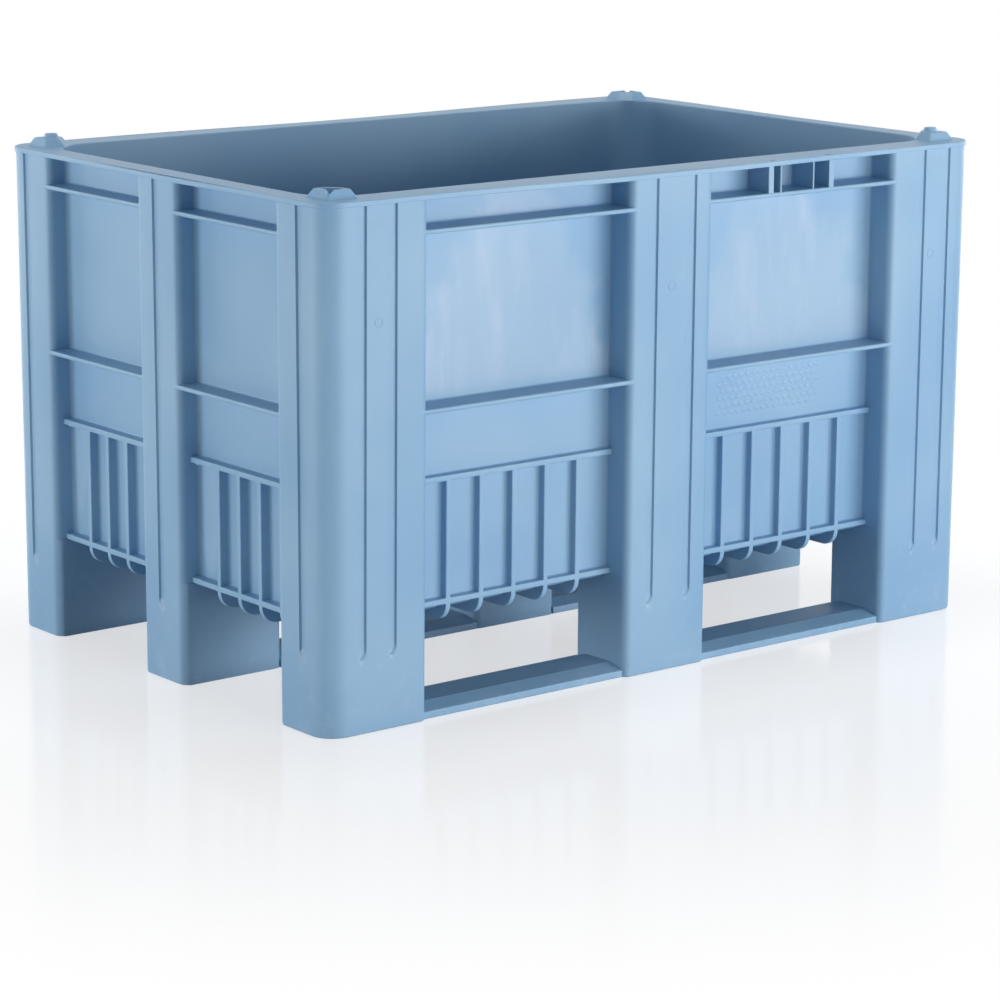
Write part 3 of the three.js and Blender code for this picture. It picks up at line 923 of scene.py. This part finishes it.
def mark(x, z, face):
    """The raised ring that an ejector pin leaves."""
    angles = np.linspace(0, math.pi, 6)
    profile = [(MARK_RADIUS + MARK_TUBE * math.cos(a), MARK_TUBE * math.sin(a)) for a in angles]
    profile += [(MARK_RADIUS - MARK_TUBE, -0.5), (MARK_RADIUS + MARK_TUBE, -0.5)]
    rings = []
    for radius, rise in profile + profile[:1]:
        rings.append(at_y(ring_points(radius, 24) + (x, z), face - 0.6 * rise))
    rings = np.array(rings)
    rows, columns, _ = rings.shape
    faces = []
    for r in range(rows - 1):
        for c in range(columns):
            d = (c + 1) % columns
            faces.append((r * columns + c, r * columns + d, (r + 1) * columns + d, (r + 1) * columns + c))
    mesh = bpy.data.meshes.new("mark")
    mesh.from_pydata((rings.reshape(-1, 3) * MM).tolist(), [], faces)
    close_tube(mesh)
    piece = bpy.data.objects.new("mark", mesh)
    bpy.context.scene.collection.objects.link(piece)
    return piece


def close_tube(mesh):
    """Welds the first and last rings of a tube bent into a ring, and turns its faces outwards."""
    work = bmesh.new()
    work.from_mesh(mesh)
    bmesh.ops.remove_doubles(work, verts=work.verts, dist=0.01 * MM)
    bmesh.ops.recalc_face_normals(work, faces=work.faces)
    work.to_mesh(mesh)
    work.free()


def merged(name, pieces):
    """One object that holds several pieces that don't touch."""
    work = bmesh.new()
    for piece in pieces:
        work.from_mesh(piece.data)
        bpy.data.objects.remove(piece)
    mesh = bpy.data.meshes.new(name)
    work.to_mesh(mesh)
    work.free()
    made = bpy.data.objects.new(name, mesh)
    bpy.context.scene.collection.objects.link(made)
    mesh.shade_smooth()
    mesh.set_sharp_from_angle(angle=math.radians(50))
    return made


def panel_face(z):
    """The y of the long panel's outer face at a height, on the side that looks along -Y."""
    return -(LONG_PANEL - tub_lean(z))


def grip_nubs():
    pieces = []
    middle_x, middle_z = NUB_MIDDLE
    for row in range(NUB_ROWS):
        z = middle_z + (row - (NUB_ROWS - 1) / 2) * NUB_ROW_PITCH
        shift = 0.25 if row % 2 else -0.25
        for column in range(NUB_COLUMNS):
            x = middle_x + (column - (NUB_COLUMNS - 1) / 2 + shift) * NUB_PITCH
            pieces.append(dome(x, z, panel_face(z)))
    return merged("grip_nubs", with_turned(pieces))


def ejector_marks():
    face = -(HALF_WIDTH - face_inset(MARK_HEIGHT))
    return merged("ejector_marks", with_turned([mark(x, MARK_HEIGHT, face) for x in MARK_PLACES]))


# Shader groups and the resin

def new_group(name, inputs, outputs):
    """A shader node group; inputs are (name, socket kind, value), outputs (name, socket kind)."""
    group = bpy.data.node_groups.new(name, "ShaderNodeTree")
    for label, kind, value in inputs:
        socket = group.interface.new_socket(label, in_out="INPUT", socket_type=kind)
        socket.default_value = value
    for label, kind in outputs:
        group.interface.new_socket(label, in_out="OUTPUT", socket_type=kind)
    start = group.nodes.new("NodeGroupInput")
    start.location = (-900, 0)
    end = group.nodes.new("NodeGroupOutput")
    end.location = (900, 0)
    return group, start, end


def add_node(tree, kind, place, values=None, **settings):
    node = tree.nodes.new(kind)
    node.location = place
    for label, value in settings.items():
        setattr(node, label, value)
    for label, value in (values or {}).items():
        node.inputs[label].default_value = value
    return node


def place_vector(tree, place):
    """The point being shaded, in metres in the box's own frame."""
    return add_node(tree, "ShaderNodeTexCoord", place).outputs["Object"]


def math_node(tree, place, operation, a, b=None, c=None, clamp=False):
    node = add_node(tree, "ShaderNodeMath", place, operation=operation, use_clamp=clamp)
    for socket, value in zip(node.inputs, (a, b, c)):
        if value is None:
            continue
        if isinstance(value, (int, float)):
            socket.default_value = value
        else:
            tree.links.new(value, socket)
    return node.outputs["Value"]


def ramp_between(tree, place, value, low, high):
    """0 below low, 1 above high and a smooth rise between."""
    node = add_node(tree, "ShaderNodeMapRange", place, interpolation_type="SMOOTHSTEP")
    node.inputs["From Min"].default_value = low
    node.inputs["From Max"].default_value = high
    tree.links.new(value, node.inputs["Value"])
    return node.outputs["Result"]


def glow_and_cloud_group():
    """Streaks that run up a moulded wall, which shape the painted glow of light through the upper panels, and
    the broad clouds of tone behind them.
    """
    group, start, end = new_group(
        "glow_streaks_and_clouds",
        [("Scale", "NodeSocketFloat", 9.0)],
        [("Streaks", "NodeSocketFloat"), ("Clouds", "NodeSocketFloat")])
    links = group.links
    point = place_vector(group, (-900, 300))
    turned = add_node(group, "ShaderNodeMapping", (-700, 300))
    turned.inputs["Scale"].default_value = (1, 1, 0.22)
    links.new(point, turned.inputs["Vector"])
    bend = add_node(group, "ShaderNodeTexNoise", (-500, 300), {"Scale": 5.0, "Detail": 3.0})
    links.new(turned.outputs["Vector"], bend.inputs["Vector"])
    moved = add_node(group, "ShaderNodeMixRGB", (-300, 300), blend_type="ADD")
    moved.inputs["Fac"].default_value = 0.22
    links.new(turned.outputs["Vector"], moved.inputs["Color1"])
    links.new(bend.outputs["Color"], moved.inputs["Color2"])
    streaks = add_node(group, "ShaderNodeTexNoise", (-100, 300), {"Detail": 7.0, "Roughness": 0.62})
    links.new(moved.outputs["Color"], streaks.inputs["Vector"])
    links.new(start.outputs["Scale"], streaks.inputs["Scale"])
    sharp = ramp_between(group, (150, 300), streaks.outputs["Fac"], 0.47, 0.66)
    clouds = add_node(group, "ShaderNodeTexNoise", (-100, -100), {"Scale": 3.4, "Detail": 2.0})
    links.new(point, clouds.inputs["Vector"])
    links.new(sharp, end.inputs["Streaks"])
    links.new(clouds.outputs["Fac"], end.inputs["Clouds"])
    return group


def grain_group():
    """The fine grain of the tool's steel, broad waves of shrinkage, and a normal from both."""
    group, start, end = new_group(
        "moulded_grain",
        [("Grain Depth", "NodeSocketFloat", 0.00004), ("Wave Depth", "NodeSocketFloat", 0.0009)],
        [("Normal", "NodeSocketVector"), ("Grain", "NodeSocketFloat")])
    links = group.links
    point = place_vector(group, (-900, 200))
    fine = add_node(group, "ShaderNodeTexNoise", (-600, 300), {"Scale": 420.0, "Detail": 3.0})
    broad = add_node(group, "ShaderNodeTexNoise", (-600, 0), {"Scale": 7.0, "Detail": 1.5})
    links.new(point, fine.inputs["Vector"])
    links.new(point, broad.inputs["Vector"])
    height = math_node(group, (-300, 200), "MULTIPLY", fine.outputs["Fac"], start.outputs["Grain Depth"])
    waves = math_node(group, (-300, 0), "MULTIPLY", broad.outputs["Fac"], start.outputs["Wave Depth"])
    total = math_node(group, (-100, 100), "ADD", height, waves)
    bump = add_node(group, "ShaderNodeBump", (200, 100), {"Strength": 1.0, "Distance": 1.0})
    links.new(total, bump.inputs["Height"])
    links.new(bump.outputs["Normal"], end.inputs["Normal"])
    links.new(fine.outputs["Fac"], end.inputs["Grain"])
    return group


def scuff_group():
    """Fine worn blotches, strongest near the floor."""
    group, start, end = new_group(
        "foot_scuffs",
        [("Reach", "NodeSocketFloat", 0.16)],
        [("Scuffs", "NodeSocketFloat")])
    links = group.links
    point = place_vector(group, (-900, 200))
    apart = add_node(group, "ShaderNodeSeparateXYZ", (-700, 0))
    links.new(point, apart.inputs["Vector"])
    share = math_node(group, (-500, -100), "DIVIDE", apart.outputs["Z"], start.outputs["Reach"])
    near_floor = math_node(group, (-300, -100), "SUBTRACT", 1.0, share, clamp=True)
    blotches = add_node(group, "ShaderNodeTexNoise", (-500, 300),
                        {"Scale": 38.0, "Detail": 6.0, "Roughness": 0.7})
    links.new(point, blotches.inputs["Vector"])
    worn = ramp_between(group, (-250, 300), blotches.outputs["Fac"], 0.5, 0.72)
    mask = math_node(group, (0, 200), "MULTIPLY", worn, near_floor)
    links.new(mask, end.inputs["Scuffs"])
    return group


RESIN = (0.265, 0.445, 0.63, 1)
# The colour of the painted glow where light shines through the upper panels
GLOW_TINT = (0.50, 0.60, 0.74, 1)
DEEP_CLOUD = (0.21, 0.395, 0.60, 1)
SCUFF_TINT = (0.36, 0.52, 0.70, 1)
# The colour of the painted highlight on convex edges
EDGE_HIGHLIGHT_TINT = (0.34, 0.52, 0.72, 1)
SHINE = 0.5
PLAIN_ROUGHNESS = 0.38
GRAIN_ROUGHNESS = 0.14
SCUFF_ROUGHNESS = 0.15
SCUFF_SHARE = 0.5
EDGE_HIGHLIGHT_SHARE = 0.5

# The pale fan of painted glow on each upper panel, standing in for light that shines through the thin wall:
# band round the panel in mm, heights in metres
PANEL_BAND = 2.6
FAN_FADE = 25
FAN_SLOPE = 1.5
FAN_NOISE = 0.3
FAN_TOP = 0.64
FAN_FOOT = 0.56
GLOW_FAN_SHARE = 0.22
GLOW_STREAK_SHARE = 0.3


def mixed(tree, place, factor, first, second):
    """A colour between two; each is a colour or a socket."""
    node = add_node(tree, "ShaderNodeMix", place, data_type="RGBA")
    sockets = [s for s in node.inputs if s.type == "RGBA"]
    for socket, value in zip(sockets, (first, second)):
        if isinstance(value, tuple):
            socket.default_value = value
        else:
            tree.links.new(value, socket)
    tree.links.new(factor, node.inputs["Factor"])
    return next(s for s in node.outputs if s.type == "RGBA")


def near_plane(tree, place, value, plane):
    """1 within a narrow band round a plane and its mirror image."""
    x, y = place
    size = math_node(tree, (x, y), "ABSOLUTE", value)
    off = math_node(tree, (x + 180, y), "SUBTRACT", size, plane * MM)
    return math_node(tree, (x + 540, y), "LESS_THAN", math_node(tree, (x + 360, y), "ABSOLUTE", off),
                     PANEL_BAND * MM)


def glow_fan_mask(tree, place):
    """1 on the fan of painted glow, standing in for light through each upper panel of the long sides, 0
    elsewhere.
    """
    x, y = place
    apart = add_node(tree, "ShaderNodeSeparateXYZ", (x, y))
    point = place_vector(tree, (x - 200, y))
    tree.links.new(point, apart.inputs["Vector"])
    on_panel = near_plane(tree, (x + 200, y + 200), apart.outputs["Y"], LONG_PANEL - 1)
    along = math_node(tree, (x + 200, y), "ABSOLUTE", apart.outputs["X"])
    middle = (LONG_MIDDLE_HALF + LONG_CORNER_EDGE) / 2
    off = math_node(tree, (x + 400, y), "ABSOLUTE",
                    math_node(tree, (x + 300, y), "SUBTRACT", along, middle * MM))
    off = math_node(tree, (x + 500, y), "MULTIPLY", off, FAN_SLOPE)
    height = math_node(tree, (x + 600, y), "ADD", off, apart.outputs["Z"])
    rough = add_node(tree, "ShaderNodeTexNoise", (x + 400, y - 300), {"Scale": 11.0, "Detail": 4.0})
    tree.links.new(point, rough.inputs["Vector"])
    height = math_node(tree, (x + 800, y), "MULTIPLY_ADD", rough.outputs["Fac"], -FAN_NOISE, height)
    fan = ramp_between(tree, (x + 1000, y), height, FAN_TOP, FAN_FOOT)
    above = ramp_between(tree, (x + 800, y + 300), apart.outputs["Z"],
                         MIDDLE_RIB * MM, (MIDDLE_RIB + FAN_FADE) * MM)
    fan = math_node(tree, (x + 1200, y), "MULTIPLY", fan, above)
    return math_node(tree, (x + 1400, y), "MULTIPLY", fan, on_panel)


def resin_material():
    material = bpy.data.materials.new("blue_resin")
    material.use_nodes = True
    tree = material.node_tree
    links = tree.links
    shader = tree.nodes["Principled BSDF"]
    shader.location = (600, 0)
    shader.inputs["IOR"].default_value = 1.5
    shader.inputs["Specular IOR Level"].default_value = SHINE
    glow_and_clouds = add_node(tree, "ShaderNodeGroup", (-900, 300), node_tree=glow_and_cloud_group())
    grain = add_node(tree, "ShaderNodeGroup", (-900, -300), node_tree=grain_group())
    scuffs = add_node(tree, "ShaderNodeGroup", (-900, 0), node_tree=scuff_group())
    clouds = ramp_between(tree, (-650, 500), glow_and_clouds.outputs["Clouds"], 0.35, 0.7)
    colour = mixed(tree, (-400, 400), clouds, RESIN, DEEP_CLOUD)
    # Painted glow: the upper panels are made paler in a streaky fan, standing in for light shining through
    # the thin wall
    glow = math_node(tree, (-650, 200), "MULTIPLY_ADD", glow_and_clouds.outputs["Streaks"], GLOW_STREAK_SHARE, GLOW_FAN_SHARE)
    glow = math_node(tree, (-450, 200), "MULTIPLY", glow, glow_fan_mask(tree, (-2200, 100)))
    colour = mixed(tree, (-200, 400), glow, colour, GLOW_TINT)
    worn = math_node(tree, (-200, 100), "MULTIPLY", scuffs.outputs["Scuffs"], SCUFF_SHARE)
    colour = mixed(tree, (0, 400), worn, colour, SCUFF_TINT)
    # Painted highlight: convex edges, found by pointiness, are made paler
    edges = add_node(tree, "ShaderNodeNewGeometry", (-400, -100))
    convex = ramp_between(tree, (-200, -100), edges.outputs["Pointiness"], 0.52, 0.62)
    edge_highlight = math_node(tree, (0, -100), "MULTIPLY", convex, EDGE_HIGHLIGHT_SHARE)
    colour = mixed(tree, (200, 400), edge_highlight, colour, EDGE_HIGHLIGHT_TINT)
    links.new(colour, shader.inputs["Base Color"])
    rough = math_node(tree, (200, -50), "MULTIPLY_ADD", grain.outputs["Grain"],
                      GRAIN_ROUGHNESS, PLAIN_ROUGHNESS)
    rough = math_node(tree, (400, -50), "MULTIPLY_ADD", scuffs.outputs["Scuffs"], SCUFF_ROUGHNESS, rough)
    links.new(rough, shader.inputs["Roughness"])
    links.new(grain.outputs["Normal"], shader.inputs["Normal"])
    return material


# Stage

CAMERA_PLACE = (-3167.3, -3998.2, 1325.6)
CAMERA_YAW = math.radians(38.467)
CAMERA_PITCH = math.radians(11.032)
CAMERA_ROLL = math.radians(0.299)
CAMERA_SHIFT = -0.1
FOCAL_PIXELS = 3470.6
IMAGE_WIDTH = 1000
SENSOR_WIDTH = 36


def add_camera():
    data = bpy.data.cameras.new("camera")
    data.sensor_width = SENSOR_WIDTH
    data.lens = FOCAL_PIXELS * SENSOR_WIDTH / IMAGE_WIDTH
    data.shift_y = CAMERA_SHIFT
    data.clip_end = 100
    camera = bpy.data.objects.new("camera", data)
    bpy.context.scene.collection.objects.link(camera)
    ahead = Vector((math.sin(CAMERA_YAW) * math.cos(CAMERA_PITCH),
                    math.cos(CAMERA_YAW) * math.cos(CAMERA_PITCH), -math.sin(CAMERA_PITCH)))
    level = Vector((math.cos(CAMERA_YAW), -math.sin(CAMERA_YAW), 0))
    lift = level.cross(ahead)
    right = level * math.cos(CAMERA_ROLL) + lift * math.sin(CAMERA_ROLL)
    up = lift * math.cos(CAMERA_ROLL) - level * math.sin(CAMERA_ROLL)
    turn = Matrix((right, up, -ahead)).transposed().to_4x4()
    camera.matrix_world = Matrix.Translation(Vector(CAMERA_PLACE) * MM) @ turn
    bpy.context.scene.camera = camera


def camera_ray(tree, place):
    return add_node(tree, "ShaderNodeLightPath", place).outputs["Is Camera Ray"]


# The floor's half side, and the distances between which it fades to white, in metres
FLOOR_HALF = 30
FLOOR_NEAR = 0.75
FLOOR_FAR = 1.7
FLOOR_SEEN = (0.38, 0.38, 0.38, 1)
FLOOR_TINT = (0.85, 0.85, 0.85, 1)
FLOOR_LIFT = 0.62
FLOOR_ROUGHNESS = 0.12
FLOOR_SHINE = 0.12


def floor_shader(tree, seen):
    """The pale floor near the box, lit a little where the camera sees it."""
    shader = tree.nodes["Principled BSDF"]
    tree.links.new(mixed(tree, (-200, 0), seen, FLOOR_TINT, FLOOR_SEEN), shader.inputs["Base Color"])
    shader.inputs["Roughness"].default_value = FLOOR_ROUGHNESS
    shader.inputs["Specular IOR Level"].default_value = FLOOR_SHINE
    shader.inputs["Emission Color"].default_value = (1, 1, 1, 1)
    lift = math_node(tree, (-200, -200), "MULTIPLY", seen, FLOOR_LIFT)
    tree.links.new(lift, shader.inputs["Emission Strength"])
    return shader


def floor_material():
    material = bpy.data.materials.new("floor")
    material.use_nodes = True
    tree = material.node_tree
    seen = camera_ray(tree, (-400, -200))
    shader = floor_shader(tree, seen)
    away = add_node(tree, "ShaderNodeVectorMath", (-600, 200), operation="LENGTH")
    tree.links.new(place_vector(tree, (-800, 200)), away.inputs[0])
    far = ramp_between(tree, (-400, 200), away.outputs["Value"], FLOOR_NEAR, FLOOR_FAR)
    share = math_node(tree, (-200, 200), "MULTIPLY", far, seen)
    white = add_node(tree, "ShaderNodeEmission", (0, -400))
    blend = add_node(tree, "ShaderNodeMixShader", (400, 200))
    tree.links.new(share, blend.inputs["Fac"])
    tree.links.new(shader.outputs["BSDF"], blend.inputs[1])
    tree.links.new(white.outputs["Emission"], blend.inputs[2])
    tree.links.new(blend.outputs["Shader"], tree.nodes["Material Output"].inputs["Surface"])
    return material


def add_floor():
    mesh = bpy.data.meshes.new("floor")
    signs = ((-1, -1), (1, -1), (1, 1), (-1, 1))
    mesh.from_pydata([(a * FLOOR_HALF, b * FLOOR_HALF, 0) for a, b in signs], [], [(0, 1, 2, 3)])
    floor = bpy.data.objects.new("floor", mesh)
    bpy.context.scene.collection.objects.link(floor)
    floor.data.materials.append(floor_material())


# Lamps as (name, place, size, power); they aim at the middle of the box
LAMP_AIM = (0, 0, 0.36)
LAMPS = (
    ("front", (1.6, -4.6, 0.6), (4.8, 1.6), 205),
    ("side", (-5.6, 1.6, 0.6), (3.4, 1.5), 160),
    ("back", (-1.6, 4.6, 0.9), (3.6, 1.4), 55),
    ("end", (4.8, 1.2, 0.9), (3.2, 1.4), 55),
    ("top", (0, 0, 4.2), (1.6, 1.2), 46),
)
WORLD_LIGHT = 0.15


def add_lamp(name, place, size, power):
    data = bpy.data.lights.new(name, "AREA")
    data.shape = "RECTANGLE"
    data.size, data.size_y = size
    data.energy = power
    lamp = bpy.data.objects.new(name, data)
    bpy.context.scene.collection.objects.link(lamp)
    lamp.location = place
    lamp.rotation_mode = "QUATERNION"
    lamp.rotation_quaternion = (Vector(LAMP_AIM) - Vector(place)).to_track_quat("-Z", "Y")


def add_light():
    for lamp in LAMPS:
        add_lamp(*lamp)
    world = bpy.data.worlds.new("world")
    bpy.context.scene.world = world
    world.use_nodes = True
    tree = world.node_tree
    background = tree.nodes["Background"]
    background.inputs["Color"].default_value = (1, 1, 1, 1)
    rays = add_node(tree, "ShaderNodeLightPath", (-600, 0)).outputs
    seen = math_node(tree, (-400, 0), "MAXIMUM", rays["Is Camera Ray"], rays["Is Glossy Ray"])
    strength = math_node(tree, (-200, 0), "MULTIPLY_ADD", seen, 1 - WORLD_LIGHT, WORLD_LIGHT)
    tree.links.new(strength, background.inputs["Strength"])


def dress(piece, material):
    piece.data.materials.clear()
    piece.data.materials.append(material)
    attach(piece, "root")


bpy.context.scene.view_settings.view_transform = "Standard"
add_camera()
add_floor()
add_light()
resin = resin_material()
body = moulding()
for piece in (body, grip_nubs(), ejector_marks()):
    dress(piece, resin)
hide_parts(NODE)
